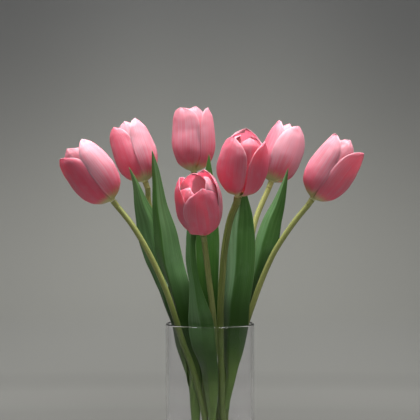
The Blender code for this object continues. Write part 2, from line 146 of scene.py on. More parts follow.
inside = VASE_RADIUS - WALL
lip = WALL / 2
wall_section = [(0.0, VASE_FLOOR)]
wall_section += arc((inside - INSIDE_CORNER, VASE_FLOOR + INSIDE_CORNER), INSIDE_CORNER, -90, 0, ARC_STEPS)
wall_section += arc((VASE_RADIUS - lip, VASE_HEIGHT - lip), lip, 180, 0, 2 * ARC_STEPS)
wall_section += arc((VASE_RADIUS - FOOT_ROUND, FOOT_ROUND), FOOT_ROUND, 0, -90, ARC_STEPS)
wall_section += [(0.0, 0.0)]
vase_glass = turned_piece("vase_glass", wall_section, clear_glass)
vase_glass.visible_shadow = False
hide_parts("vase")


# Water: fills the foot of the vase to just below the leaves, as cut tulips are kept in shallow water.
# Its surface climbs a little where it wets the glass.
WATER_LEVEL = 0.085
WATER_GAP = 0.0002
MENISCUS_RISE = 0.0012
MENISCUS_REACH = 0.0025
WATER_TINT = (0.97, 0.99, 0.985, 1.0)
WATER_BENDING = 1.333

clear_water = clear_finish("vase water", WATER_TINT, WATER_BENDING)

wet_radius = inside - WATER_GAP
wet_floor = VASE_FLOOR + WATER_GAP
corner = (wet_radius - INSIDE_CORNER, wet_floor + INSIDE_CORNER)
water_section = [(0.0, wet_floor)]
water_section += arc(corner, INSIDE_CORNER, -90, 0, ARC_STEPS)
for step in range(ARC_STEPS + 1):
    inwards = step / ARC_STEPS
    climb = MENISCUS_RISE * (1.0 - inwards) ** 3
    water_section.append((wet_radius - MENISCUS_REACH * inwards, WATER_LEVEL + climb - MENISCUS_RISE / 2))
water_section += [(0.0, WATER_LEVEL - MENISCUS_RISE / 2)]
water_body = turned_piece("water_body", water_section, clear_water)
water_body.visible_shadow = False
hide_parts("water")


# Stems: round, smooth and juicy, yellow-green to olive under a thin waxy bloom, cut straight across below.
# Each crosses the others in the vase and runs on into the base of its own bloom.
STEM_RADIUS = 0.0031
STEM_TOP_SHARE = 0.90
STOUT_STEM_TOP_SHARE = 1.14
STOUT_STEM = "stem_5"
STEM_NECK = 0.009
STEM_POINTS = 25
STEM_ROWS = 96
STEM_SIDES = 20
STEM_END = -0.0018
STEM_FLARE = 0.00035
STEM_FLARE_LENGTH = 0.06
RELIEF = 0.0003

# Each stem's middle line from its cut end up to its neck, in metres
STEMS = {
    "stem_1": (
        (0.0030, -0.0270, 0.0110),
        (-0.0005, -0.0180, 0.0550),
        (-0.0045, -0.0090, 0.1000),
        (-0.0111, -0.0090, 0.1325),
        (-0.0190, -0.0105, 0.1590),
        (-0.0262, -0.0120, 0.1790),
        (-0.0355, -0.0145, 0.2085),
        (-0.0437, -0.0155, 0.2330),
        (-0.0540, -0.0165, 0.2570),
        (-0.0670, -0.0170, 0.2820),
        (-0.0800, -0.0165, 0.3025),
    ),
    "stem_2": (
        (-0.0225, -0.0165, 0.0112),
        (-0.0190, -0.0070, 0.0550),
        (-0.0145, 0.0030, 0.1000),
        (-0.0175, 0.0070, 0.1361),
        (-0.0267, 0.0140, 0.1763),
        (-0.0374, 0.0230, 0.2220),
        (-0.0470, 0.0310, 0.2579),
        (-0.0564, 0.0340, 0.2890),
        (-0.0640, 0.0345, 0.3220),
    ),
    "stem_3": (
        (-0.0263, 0.0096, 0.0112),
        (-0.0170, 0.0125, 0.0550),
        (-0.0050, 0.0128, 0.1000),
        (-0.0052, 0.0170, 0.1293),
        (-0.0052, 0.0260, 0.1799),
        (-0.0080, 0.0360, 0.2312),
        (-0.0130, 0.0440, 0.2834),
        (-0.0180, 0.0480, 0.3256),
    ),
    "stem_4": (
        (0.0258, -0.0109, 0.0112),
        (0.0140, -0.0130, 0.0550),
        (0.0035, -0.0150, 0.1000),
        (0.0040, -0.0200, 0.1494),
        (0.0042, -0.0265, 0.1870),
        (0.0025, -0.0345, 0.2168),
        (-0.0010, -0.0450, 0.2468),
        (-0.0040, -0.0540, 0.2720),
    ),
    "stem_5": (
        (0.0278, 0.0060, 0.0112),
        (0.0220, -0.0040, 0.0550),
        (0.0130, -0.0100, 0.1000),
        (0.0116, -0.0130, 0.1480),
        (0.0105, -0.0165, 0.1796),
        (0.0105, -0.0220, 0.2152),
        (0.0120, -0.0270, 0.2454),
        (0.0145, -0.0320, 0.2764),
        (0.0200, -0.0375, 0.3060),
    ),
    "stem_6": (
        (-0.0072, 0.0265, 0.0112),
        (0.0010, 0.0200, 0.0550),
        (0.0082, 0.0115, 0.1000),
        (0.0196, 0.0160, 0.1501),
        (0.0289, 0.0230, 0.2010),
        (0.0354, 0.0300, 0.2421),
        (0.0418, 0.0335, 0.2784),
        (0.0490, 0.0375, 0.3080),
    ),
    "stem_7": (
        (0.0180, 0.0210, 0.0110),
        (0.0180, 0.0120, 0.0550),
        (0.0157, 0.0025, 0.1000),
        (0.0190, 0.0010, 0.1300),
        (0.0248, -0.0005, 0.1530),
        (0.0312, -0.0020, 0.1780),
        (0.0370, -0.0030, 0.2000),
        (0.0439, -0.0040, 0.2205),
        (0.0530, -0.0050, 0.2455),
        (0.0660, -0.0065, 0.2740),
        (0.0849, -0.0075, 0.3025),
    ),
}

# Where each stem's bloom stands: the foot of the bloom and the way that it points
BLOOM_SEATS = {
    "stem_1": ((-0.0985, -0.0150, 0.3255), (-40.5, -5.0, 53.5)),
    "stem_2": ((-0.0680, 0.0330, 0.3455), (-23.9, 12.0, 66.3)),
    "stem_3": ((-0.0170, 0.0500, 0.3563), (-1.1, 8.0, 68.5)),
    "stem_4": ((-0.0067, -0.0620, 0.2933), (-7.0, -25.0, 47.2)),
    "stem_5": ((0.0275, -0.0420, 0.3297), (8.7, -18.0, 56.8)),
    "stem_6": ((0.0648, 0.0420, 0.3455), (23.0, 13.0, 59.4)),
    "stem_7": ((0.1041, -0.0080, 0.3271), (37.7, -5.0, 55.3)),
}


def along(rows, share):
    """Row of values at a share from 0 to 1 of a smooth curve through all the rows."""
    rows = np.asarray(rows, float)
    last = len(rows) - 1
    place = min(max(share, 0.0), 1.0) * last
    start = min(int(place), last - 1)
    t = place - start
    a = rows[start]
    b = rows[start + 1]
    before = rows[start - 1] if start > 0 else 2 * a - b
    after = rows[start + 2] if start + 2 <= last else 2 * b - a
    slope_a = (b - before) / 2
    slope_b = (after - a) / 2
    return (
        (2 * t**3 - 3 * t**2 + 1) * a
        + (t**3 - 2 * t**2 + t) * slope_a
        + (3 * t**2 - 2 * t**3) * b
        + (t**3 - t**2) * slope_b
    )


def stem_route(stem):
    """The stem's points from its cut end up into the base of its bloom."""
    foot = Vector(BLOOM_SEATS[stem][0])
    axis = Vector(BLOOM_SEATS[stem][1]).normalized()
    return STEMS[stem] + (tuple(foot - axis * STEM_NECK), tuple(foot + axis * STEM_END))


def stem_centres(stem):
    """Evenly spaced points of the stem's centre line, close enough together to bend smoothly."""
    route = stem_route(stem)
    coarse = [along(route, index / (STEM_POINTS - 1)) for index in range(STEM_POINTS)]
    coarse[-2] = np.array(route[-2])
    return [Vector(along(coarse, index / STEM_ROWS)) for index in range(STEM_ROWS + 1)]


def add_tube(working, centres, radii, sides, finish):
    """Wraps a flat grid round a line, its map running round and along it, and caps its ends."""
    rows = len(centres) - 1
    sideways = Vector((1.0, 0.0, 0.0))
    rings = []
    for index, centre in enumerate(centres):
        run = centres[min(index + 1, rows)] - centres[max(index - 1, 0)]
        run.normalize()
        sideways = (sideways - run * sideways.dot(run)).normalized()
        rings.append((centre, sideways.copy(), run.cross(sideways), radii[index]))
    grid = bmesh.ops.create_grid(working, x_segments=sides, y_segments=rows, size=1.0, calc_uvs=True)
    made = grid["verts"]
    for vert in made:
        centre, right, front, radius = rings[round((vert.co.y + 1) / 2 * rows)]
        angle = math.pi * (vert.co.x + 1)
        vert.co = centre + (right * math.cos(angle) + front * math.sin(angle)) * radius
    for face in {face for vert in made for face in vert.link_faces}:
        face.material_index = finish
    bmesh.ops.remove_doubles(working, verts=made, dist=WELD)
    ends = [edge for edge in working.edges if edge.is_boundary]
    for cap in bmesh.ops.holes_fill(working, edges=ends, sides=sides)["faces"]:
        cap.material_index = 1


class Finish:
    """A material whose nodes are linked to their inputs as they are made."""

    def __init__(self, name):
        self.material = bpy.data.materials.new(name)
        self.material.use_nodes = True
        self.nodes = self.material.node_tree.nodes
        self.links = self.material.node_tree.links
        self.shader = self.nodes["Principled BSDF"]

    def add(self, kind, inputs, **settings):
        made = self.nodes.new(kind)
        for key, value in settings.items():
            setattr(made, key, value)
        for socket, value in inputs.items():
            self.put(made.inputs[socket], value)
        return made

    def put(self, socket, value):
        if isinstance(value, bpy.types.NodeSocket):
            self.links.new(value, socket)
        else:
            socket.default_value = value

    def give(self, socket, value):
        """Sets or links one of the shader's own sockets."""
        self.put(self.shader.inputs[socket], value)

    def math(self, operation, first, second=0.0):
        made = self.add("ShaderNodeMath", {0: first, 1: second}, operation=operation)
        return made.outputs[0]

    def span(self, value, low, high, to_low=0.0, to_high=1.0):
        """Eases a value from one range to another, held at both ends."""
        made = self.add(
            "ShaderNodeMapRange",
            {"Value": value, "From Min": low, "From Max": high, "To Min": to_low, "To Max": to_high},
            interpolation_type="SMOOTHSTEP",
        )
        return made.outputs["Result"]

    def blend(self, share, first, second):
        """Mixes two colours, which a Mix node takes at its sockets 6 and 7 and gives at its socket 2."""
        made = self.add("ShaderNodeMix", {}, data_type="RGBA")
        self.put(made.inputs["Factor"], share)
        self.put(made.inputs[6], first)
        self.put(made.inputs[7], second)
        return made.outputs[2]

    def map_place(self):
        """Own map of the piece: how far across, and how far up."""
        uv = self.add("ShaderNodeUVMap", {}, uv_map="UVMap").outputs["UV"]
        parts = self.add("ShaderNodeSeparateXYZ", {"Vector": uv})
        return parts.outputs["X"], parts.outputs["Y"]

    def streaks(self, across, up, fineness, stretch, detail=3.0):
        """Noise drawn out along a petal, leaf or stem."""
        scaled = self.add(
            "ShaderNodeCombineXYZ",
            {"X": self.math("MULTIPLY", across, fineness), "Y": self.math("MULTIPLY", up, stretch)},
        )
        made = self.add("ShaderNodeTexNoise", {"Vector": scaled.outputs[0], "Scale": 1.0, "Detail": detail})
        return made.outputs["Fac"]

    def place(self):
        """Place in the shared frame, in metres."""
        return self.add("ShaderNodeTexCoord", {}).outputs["Object"]

    def grain(self, place, scale):
        """Even noise through the piece."""
        return self.add("ShaderNodeTexNoise", {"Vector": place, "Scale": scale}).outputs["Fac"]

    def relieve(self, height, strength):
        """Raises the surface a little where a noise is high."""
        bump = self.add("ShaderNodeBump", {"Strength": strength, "Distance": RELIEF, "Height": height})
        self.give("Normal", bump.outputs["Normal"])


# Greens of a stem: its lit and shaded greens, blended by its painted light, its pale neck under the bloom,
# and a deeper green down in the vase that is partly painted shade
STEM_LIT_GREEN = (0.44, 0.45, 0.16, 1.0)
STEM_SHADED_GREEN = (0.10, 0.13, 0.030, 1.0)
STEM_NECK_COLOUR = (0.38, 0.38, 0.14, 1.0)
STEM_FOOT_GREEN_AND_SHADE = (0.060, 0.090, 0.018, 1.0)
NECK_PALENESS = 0.08
NECK_PAINTED_LIGHT_GAIN = 0.45

# Painted light on each stem, from 0 for deep olive where it lies in the shade of blooms and leaves
# to 1 for yellow-green where the overhead lamp falls on it
STEM_PAINTED_LIGHT = {
    "stem_1": 0.32,
    "stem_2": 0.55,
    "stem_3": 0.25,
    "stem_4": 0.22,
    "stem_5": 0.12,
    "stem_6": 0.90,
    "stem_7": 0.36,
}


def stem_skin(stem):
    """Material of one stem, with fibres along it and fine flecks, lit or shaded by its painted light, darker
    lower down as painted shade, and deep green in the vase partly as painted shade.
    """
    skin = Finish(stem + " skin")
    across, up = skin.map_place()
    fibres = skin.streaks(across, up, fineness=26.0, stretch=9.0)
    flecks = skin.streaks(across, up, fineness=60.0, stretch=160.0)
    # Painted light: each stem's own share of lit green, with its fibres for variation.
    painted_light = skin.math("ADD", STEM_PAINTED_LIGHT[stem], skin.span(fibres, 0.35, 0.68, -0.12, 0.12))
    # Painted shade: the stem darkens lower down, among the leaves and in the vase.
    painted_light = skin.math("MULTIPLY", painted_light, skin.span(up, 0.42, 0.66, 0.10, 1.0))
    green = skin.blend(painted_light, STEM_SHADED_GREEN, STEM_LIT_GREEN)
    # The pale neck under the bloom shows more on stems with more painted light.
    neck_paleness_and_light = NECK_PALENESS + NECK_PAINTED_LIGHT_GAIN * STEM_PAINTED_LIGHT[stem]
    green = skin.blend(skin.span(up, 0.88, 1.0, 0.0, neck_paleness_and_light), green, STEM_NECK_COLOUR)
    # Deep green in the vase: partly the stem's own greener foot, partly painted shade of the crowded bunch.
    green = skin.blend(skin.span(up, 0.58, 0.40), green, STEM_FOOT_GREEN_AND_SHADE)
    skin.give("Base Color", green)
    skin.give("Roughness", skin.span(flecks, 0.3, 0.7, 0.38, 0.55))
    skin.give("Specular IOR Level", 0.35)
    skin.give("Subsurface Weight", 0.12)
    skin.give("Subsurface Radius", (0.0015, 0.0020, 0.0006))
    relief = skin.math("ADD", fibres, flecks)
    skin.relieve(relief, 0.25)
    return skin.material


PORE_COLOUR = (0.45, 0.52, 0.25, 1.0)
CUT_COLOUR = (0.66, 0.68, 0.42, 1.0)
PORE_SCALE = 2600.0

cut_flesh = Finish("cut stem flesh")
place = cut_flesh.place()
pores = cut_flesh.add("ShaderNodeTexVoronoi", {"Vector": place, "Scale": PORE_SCALE}).outputs["Distance"]
flesh = cut_flesh.blend(cut_flesh.span(pores, 0.1, 0.6), PORE_COLOUR, CUT_COLOUR)
cut_flesh.give("Base Color", flesh)
cut_flesh.give("Roughness", 0.4)

for stem in STEMS:
    centres = stem_centres(stem)
    radii = []
    top_share = STOUT_STEM_TOP_SHARE if stem == STOUT_STEM else STEM_TOP_SHARE
    for index in range(STEM_ROWS + 1):
        share = index / STEM_ROWS
        swell = STEM_FLARE * max(0.0, (share - 1 + STEM_FLARE_LENGTH) / STEM_FLARE_LENGTH) ** 2
        radii.append(STEM_RADIUS * (1.0 - (1.0 - top_share) * share) + swell)
    working = bmesh.new()
    working.loops.layers.uv.new("UVMap")
    add_tube(working, centres, radii, STEM_SIDES, 0)
    piece = finished_piece(stem + "_round", working, [stem_skin(stem), cut_flesh.material])
    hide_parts(stem)


# Leaves: long lance-shaped blades, up to two to a stem, each clasping its stem by a rolled foot.
# They are folded a little along the keel, waxy and grey-green, with fine parallel veins and a pale rim.
LEAF_THICKNESS = 0.0007
LEAF_ROWS = 72
LEAF_COLUMNS = 14
SHEATH_HALF_WIDTH = 0.0052
SHEATH_ROWS = 3
SHEATH_RISE = 0.006
SHEATH_GAP = 0.0010
SHEATH_HALF_THICKNESS = 0.0004
SHEATH_RADIUS = STEM_RADIUS + SHEATH_GAP + SHEATH_HALF_THICKNESS
CREASE_SHARE = 0.6
TANGENT_STEP = 0.01
VEIN_DEPTH = 0.00010
VEIN_COUNT = 9
HALVINGS = 40

# Each leaf: stem that it clasps, height of its foot, way its keel faces there, then its keel line as
# x, y, z, half width, way the keel faces, and turn of the blade from keel to edge, in metres and degrees
LEAVES = {
    "leaf_1": (
        "stem_2", 0.125, -150,
        (
            (-0.0246, 0.0114, 0.1460, 0.0060, -105, 30),
            (-0.0284, 0.0088, 0.1570, 0.0070, -74, 30),
            (-0.0346, 0.0060, 0.1765, 0.0086, -58, 28),
            (-0.0388, 0.0015, 0.1985, 0.0082, -70, 22),
            (-0.0438, 0.0035, 0.2130, 0.0078, -65, 26),
            (-0.0486, 0.0105, 0.2300, 0.0068, -42, 32),
            (-0.0508, 0.0172, 0.2450, 0.0105, -12, 40),
            (-0.0535, 0.0176, 0.2605, 0.0140, 8, 45),
            (-0.0565, 0.0172, 0.2740, 0.0155, 12, 45),
            (-0.0595, 0.0165, 0.2880, 0.0165, 15, 45),
            (-0.0625, 0.0150, 0.3035, 0.0150, 18, 45),
            (-0.0688, 0.0120, 0.3200, 0.0100, 20, 45),
            (-0.0753, 0.0090, 0.3415, 0.0042, 22, 45),
            (-0.0833, 0.0060, 0.3600, 0.0, 25, 45),
        ),
    ),
    "leaf_2": (
        "stem_2", 0.088, -5,
        (
            (-0.0160, -0.0030, 0.1270, 0.0076, -15, 44),
            (-0.0188, -0.0035, 0.1505, 0.0090, -30, 56),
            (-0.0243, -0.0048, 0.1710, 0.0096, -34, 58),
            (-0.0299, -0.0060, 0.1985, 0.0145, -38, 62),
            (-0.0349, -0.0070, 0.2190, 0.0180, -38, 62),
            (-0.0399, -0.0075, 0.2380, 0.0196, -36, 60),
            (-0.0445, -0.0070, 0.2565, 0.0200, -26, 58),
            (-0.0475, -0.0070, 0.2745, 0.0195, -20, 55),
            (-0.0496, -0.0060, 0.2930, 0.0170, -20, 52),
            (-0.0532, -0.0040, 0.3180, 0.0110, -20, 48),
            (-0.0548, -0.0030, 0.3405, 0.0070, -20, 45),
            (-0.0565, -0.0030, 0.3575, 0.0045, -20, 42),
            (-0.0588, -0.0030, 0.3765, 0.0, -20, 40),
        ),
    ),
    "leaf_3": (
        "stem_4", 0.098, -20,
        (
            (-0.0004, -0.0240, 0.1300, 0.0088, -20, 50),
            (-0.0020, -0.0275, 0.1480, 0.0106, -20, 46),
            (-0.0034, -0.0330, 0.1660, 0.0114, -10, 38),
            (-0.0066, -0.0365, 0.1820, 0.0132, -5, 32),
            (-0.0092, -0.0385, 0.2015, 0.0140, -5, 32),
            (-0.0122, -0.0430, 0.2170, 0.0116, -12, 36),
            (-0.0154, -0.0460, 0.2415, 0.0062, -10, 34),
            (-0.0189, -0.0475, 0.2640, 0.0058, -10, 30),
            (-0.0191, -0.0475, 0.2810, 0.0052, -10, 28),
            (-0.0181, -0.0465, 0.2975, 0.0050, -10, 25),
            (-0.0176, -0.0440, 0.3160, 0.0, -10, 25),
        ),
    ),
    "leaf_4": (
        "stem_4", 0.126, 180,
        (
            (0.0015, -0.0120, 0.1620, 0.0066, 180, 35),
            (0.0008, -0.0080, 0.1795, 0.0080, 180, 32),
            (-0.0005, -0.0050, 0.2145, 0.0095, 180, 30),
            (-0.0020, -0.0030, 0.2445, 0.0115, 180, 26),
            (-0.0025, -0.0010, 0.2695, 0.0128, 180, 24),
            (-0.0025, 0.0010, 0.2900, 0.0125, 180, 22),
            (-0.0020, 0.0040, 0.3200, 0.0090, 180, 20),
            (-0.0015, 0.0070, 0.3455, 0.0055, 180, 18),
            (-0.0010, 0.0110, 0.3735, 0.0, 180, 15),
        ),
    ),
    "leaf_5": (
        "stem_7", 0.112, -25,
        (
            (0.0190, -0.0060, 0.1460, 0.0080, -26, 60),
            (0.0185, -0.0085, 0.1635, 0.0138, -27, 58),
            (0.0190, -0.0100, 0.1790, 0.0170, -28, 56),
            (0.0200, -0.0110, 0.1990, 0.0196, -28, 54),
            (0.0206, -0.0120, 0.2215, 0.0204, -28, 52),
            (0.0232, -0.0120, 0.2395, 0.0206, -28, 50),
            (0.0252, -0.0120, 0.2595, 0.0210, -26, 48),
            (0.0262, -0.0120, 0.2820, 0.0205, -23, 46),
            (0.0272, -0.0120, 0.2970, 0.0185, -20, 44),
            (0.0292, -0.0130, 0.3120, 0.0145, -16, 42),
            (0.0307, -0.0140, 0.3280, 0.0080, -12, 40),
            (0.0307, -0.0140, 0.3530, 0.0, -10, 40),
        ),
    ),
    "leaf_6": (
        "stem_6", 0.118, 10,
        (
            (0.0232, 0.0095, 0.1530, 0.0060, 35, 45),
            (0.0280, 0.0085, 0.1760, 0.0070, 35, 42),
            (0.0335, 0.0085, 0.2000, 0.0080, 30, 40),
            (0.0412, 0.0110, 0.2325, 0.0120, 0, 50),
            (0.0474, 0.0115, 0.2550, 0.0150, -15, 52),
            (0.0520, 0.0120, 0.2760, 0.0180, -28, 52),
            (0.0557, 0.0125, 0.2890, 0.0170, -28, 50),
            (0.0608, 0.0130, 0.3040, 0.0140, -28, 48),
            (0.0680, 0.0130, 0.3200, 0.0095, -28, 45),
            (0.0741, 0.0120, 0.3370, 0.0050, -28, 42),
            (0.0806, 0.0110, 0.3590, 0.0, -28, 40),
        ),
    ),
    "leaf_7": (
        "stem_3", 0.104, 180,
        (
            (-0.0060, 0.0255, 0.1400, 0.0082, 180, 45),
            (-0.0060, 0.0310, 0.1650, 0.0100, 180, 30),
            (-0.0060, 0.0355, 0.1900, 0.0095, 180, 26),
            (-0.0050, 0.0450, 0.2250, 0.0115, 180, 26),
            (-0.0040, 0.0550, 0.2600, 0.0100, 180, 26),
            (-0.0030, 0.0650, 0.2950, 0.0065, 180, 25),
            (-0.0020, 0.0740, 0.3250, 0.0, 180, 25),
        ),
    ),
    "leaf_8": (
        "stem_6", 0.106, 182,
        (
            (0.0150, 0.0215, 0.1350, 0.0080, 175, 40),
            (0.0175, 0.0255, 0.1600, 0.0095, 170, 26),
            (0.0198, 0.0298, 0.1900, 0.0102, 165, 24),
            (0.0225, 0.0318, 0.2050, 0.0102, 165, 26),
            (0.0300, 0.0390, 0.2250, 0.0115, 165, 26),
            (0.0350, 0.0470, 0.2580, 0.0100, 165, 26),
            (0.0380, 0.0540, 0.2880, 0.0060, 165, 25),
            (0.0400, 0.0600, 0.3160, 0.0, 165, 25),
        ),
    ),
}


def stem_at_height(stem, height):
    """Point of the stem's centre line at a height."""
    route = stem_route(stem)
    low = 0.0
    high = 1.0
    for _ in range(HALVINGS):
        middle = (low + high) / 2
        if along(route, middle)[2] < height:
            low = middle
        else:
            high = middle
    return Vector(along(route, low))


def leaf_rows(leaf):
    """Rows of a leaf from its foot up: x, y, z, half width, facing, crease at the keel, turn to the edge."""
    stem, foot, foot_facing, free = LEAVES[leaf]
    way = math.radians(foot_facing)
    rows = []
    for index in range(SHEATH_ROWS):
        height = foot + index * SHEATH_RISE
        rise = (stem_at_height(stem, height + SHEATH_RISE) - stem_at_height(stem, height)).normalized()
        keel = Vector((math.sin(way), -math.cos(way), 0.0))
        keel = (keel - rise * keel.dot(rise)).normalized()
        centre = stem_at_height(stem, height) + keel * SHEATH_RADIUS
        rows.append((*centre, SHEATH_HALF_WIDTH, way, 0.0, SHEATH_HALF_WIDTH / SHEATH_RADIUS))
    for x, y, z, half_width, facing, turn in free:
        edge = math.radians(turn)
        rows.append((x, y, z, half_width, math.radians(facing), edge * CREASE_SHARE, edge))
    return rows


def leaf_point(rows, across, up):
    """Point of the blade's middle surface, with the outward direction at its keel."""
    x, y, z, half_width, way, crease, edge = along(rows, up)
    run = along(rows, min(up + TANGENT_STEP, 1.0)) - along(rows, max(up - TANGENT_STEP, 0.0))
    rise = Vector(run[:3]).normalized()
    keel = Vector((math.sin(way), -math.cos(way), 0.0))
    side = rise.cross(keel).normalized()
    keel = side.cross(rise)
    curl = edge - crease
    turn = crease + abs(across) * curl
    length = half_width / curl
    reach = math.copysign(length * (math.sin(turn) - math.sin(crease)), across)
    sink = length * (math.cos(crease) - math.cos(turn))
    return Vector((x, y, z)) + side * reach - keel * sink, keel


def add_thickness(piece, thickness, back_finish=0):
    """Gives an open blade its thickness, its back its own finish, and rounds it by one subdivision."""
    skin = piece.modifiers.new("thickness", "SOLIDIFY")
    skin.thickness = thickness
    skin.offset = 0.0
    skin.material_offset = back_finish
    smooth = piece.modifiers.new("rounding", "SUBSURF")
    smooth.levels = 1
    smooth.render_levels = 1


# Greens of a leaf: its flesh, the wax on it with a painted sheen, its rim, painted shade on its lower part
# in the vase, and its rolled foot
LEAF_DEEP = (0.024, 0.080, 0.009, 1.0)
LEAF_FRESH = (0.045, 0.125, 0.018, 1.0)
LEAF_WAX_SHEEN = (0.170, 0.300, 0.155, 1.0)
LEAF_RIM = (0.230, 0.350, 0.160, 1.0)
LEAF_FOOT_SHADE = (0.014, 0.042, 0.004, 1.0)
LEAF_SHEATH = (0.060, 0.105, 0.020, 1.0)

# Painted sheen on each leaf, on the left and on the right of its keel: the half that would catch the
# overhead lamp is painted paler, over a little wax
LEAF_PAINTED_SHEEN = {
    "leaf_1": (0.34, 0.26),
    "leaf_2": (0.02, 0.36),
    "leaf_3": (0.34, 0.12),
    "leaf_4": (0.02, 0.00),
    "leaf_5": (0.80, 0.10),
    "leaf_6": (0.40, 0.10),
    "leaf_7": (0.10, 0.20),
    "leaf_8": (0.20, 0.10),
}


def leaf_skin(leaf):
    """Material of one leaf, green under a pale wax with a painted sheen that lies thicker on one half of the
    blade, and darker low down as painted shade.
    """
    skin = Finish(leaf + " skin")
    across, up = skin.map_place()
    from_keel = skin.math("ABSOLUTE", skin.math("SUBTRACT", across, 0.5))
    veins = skin.streaks(across, up, fineness=90.0, stretch=1.2, detail=2.0)
    broad = skin.streaks(across, up, fineness=11.0, stretch=3.0)
    blotches = skin.streaks(across, up, fineness=5.0, stretch=12.0)
    left, right = LEAF_PAINTED_SHEEN[leaf]
    # Painted sheen: one half of the blade is made paler, as if it caught the lamp on its wax.
    wax_and_sheen = skin.span(across, 0.49, 0.53, left, right)
    wax_and_sheen = skin.math("MULTIPLY", wax_and_sheen, skin.span(broad, 0.25, 0.75, 0.6, 1.3))
    wax_and_sheen = skin.math("ADD", wax_and_sheen, skin.span(veins, 0.45, 0.75, 0.0, 0.18))
    wax_and_sheen = skin.math("ADD", wax_and_sheen, skin.span(blotches, 0.50, 0.85, 0.0, 0.22))
    green = skin.blend(skin.span(broad, 0.25, 0.75), LEAF_DEEP, LEAF_FRESH)
    green = skin.blend(wax_and_sheen, green, LEAF_WAX_SHEEN)
    green = skin.blend(skin.span(from_keel, 0.475, 0.5, 0.0, 0.7), green, LEAF_RIM)
    # Painted shade: the lower part of the blade, down in the vase among the stems, is darkened.
    green = skin.blend(skin.span(up, 0.68, 0.40), green, LEAF_FOOT_SHADE)
    green = skin.blend(skin.span(up, 0.38, 0.20), green, LEAF_SHEATH)
    skin.give("Base Color", green)
    skin.give("Roughness", skin.span(blotches, 0.3, 0.7, 0.34, 0.46))
    skin.give("Specular IOR Level", 0.3)
    skin.give("Subsurface Weight", 0.08)
    skin.give("Subsurface Radius", (0.0010, 0.0020, 0.0005))
    skin.relieve(veins, 0.3)
    return skin.material


for leaf in LEAVES:
    rows = leaf_rows(leaf)
    working = bmesh.new()
    working.loops.layers.uv.new("UVMap")
    bmesh.ops.create_grid(working, x_segments=LEAF_COLUMNS, y_segments=LEAF_ROWS, size=1.0, calc_uvs=True)
    for vert in working.verts:
        across_blade = vert.co.x
        up_blade = (vert.co.y + 1) / 2
        point, outward = leaf_point(rows, across_blade, up_blade)
        fade = math.sin(math.pi * up_blade)
        ridge = math.cos(math.pi * VEIN_COUNT * across_blade)
        vert.co = point + outward * (VEIN_DEPTH * ridge * fade)
    piece = finished_piece(leaf + "_blade", working, [leaf_skin(leaf)])
    add_thickness(piece, LEAF_THICKNESS)
    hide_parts(leaf)


# Blooms: six waxy petals round a small green receptacle, three outer ones and three inner ones between them.
# All grow from the stem's end, cream-green at the foot, rose in the body, pale along the rim and at the tip;
# the paler tops and deeper lower parts are partly painted light and shade.
PETAL_THICKNESS = 0.0005
PETAL_ROWS = 30
PETAL_COLUMNS = 18
PETAL_ROW_CROWDING = 1.35
PETAL_WIDEST_AT = 0.45
PETAL_FOOT_WIDTH = 0.95
PETAL_TIP_ROUNDING = 0.54
OVERLAP_STARTS_AT = 0.12
OUTER_OVERLAP = 0.0007
INNER_INSET = 0.0028
CUP_INSET = 0.0016
CUP_LIP = 0.62
LIP_BEGINS_AT = 0.55
PETAL_DOME = 0.0011
MIDRIB_RISE = 0.0004
MIDRIB_WIDTH = 0.16
RIB_DEPTH = 0.00012
RIB_COUNT = 7
EDGE_WAVE = 0.0009
EDGE_WAVE_RANGE = (9, 15)
DENT_DEPTH = 0.0011
DENTS_ACROSS = 1.6
DENTS_UP = 4.0
CRINKLE_DEPTH = 0.0004
CRINKLES_ACROSS = 3.0
CRINKLES_UP = 15.0
NOISE_SPACING = 5
PROFILE_STEPS = 40
CURL_BEGINS_AT = 0.66
CURL_GROWTH = 1.5
SIDE_SAG = 0.22
FULL_CURL = 90.0

# Receptacle, three-sided pistil and the six stamens round it, in the bloom's own frame, as radius and height
RECEPTACLE_SECTION = (
    (0.0, -0.0016),
    (0.0029, -0.0015),
    (0.0034, -0.0003),
    (0.0046, 0.0020),
    (0.0050, 0.0045),
    (0.0, 0.0055),
)
PISTIL_SECTION = (
    (0.0, 0.0050),
    (0.0026, 0.0052),
    (0.0032, 0.0075),
    (0.0034, 0.0120),
    (0.0031, 0.0175),
    (0.0026, 0.0205),
    (0.0030, 0.0220),
    (0.0040, 0.0232),
    (0.0038, 0.0245),
    (0.0, 0.0249),
)
PISTIL_SIDES = 3
PISTIL_LOBES = 0.07
STIGMA_LOBES = 0.25
STIGMA_FOOT = 0.020
STIGMA_RISE = 0.003
STAMEN_COUNT = 6
STAMEN_SWAY = 0.12
STAMEN_LEANS = (0.9, 1.1)
STAMEN_LINE = ((0.0036, 0.0046), (0.0054, 0.0080), (0.0062, 0.0120), (0.0064, 0.0160))
FILAMENT_SWELLS = ((0.0010,), (0.0009,), (0.0006,), (0.0004,))
FILAMENT_ROWS = 8
ANTHER_LENGTH = 0.0090
ANTHER_RADIUS = 0.0013
ANTHER_ROWS = 10
ANTHER_TIP = 0.08
ANTHER_HANG = 0.25
STAMEN_SIDES = 8

# Cup of a bloom from its foot to its lip: share of the radius, share of the length
CUP = (
    (0.13, 0.00),
    (0.44, 0.05),
    (0.74, 0.14),
    (0.92, 0.27),
    (1.00, 0.43),
    (0.985, 0.60),
    (0.92, 0.76),
    (0.80, 0.89),
    (0.62, 1.00),
)
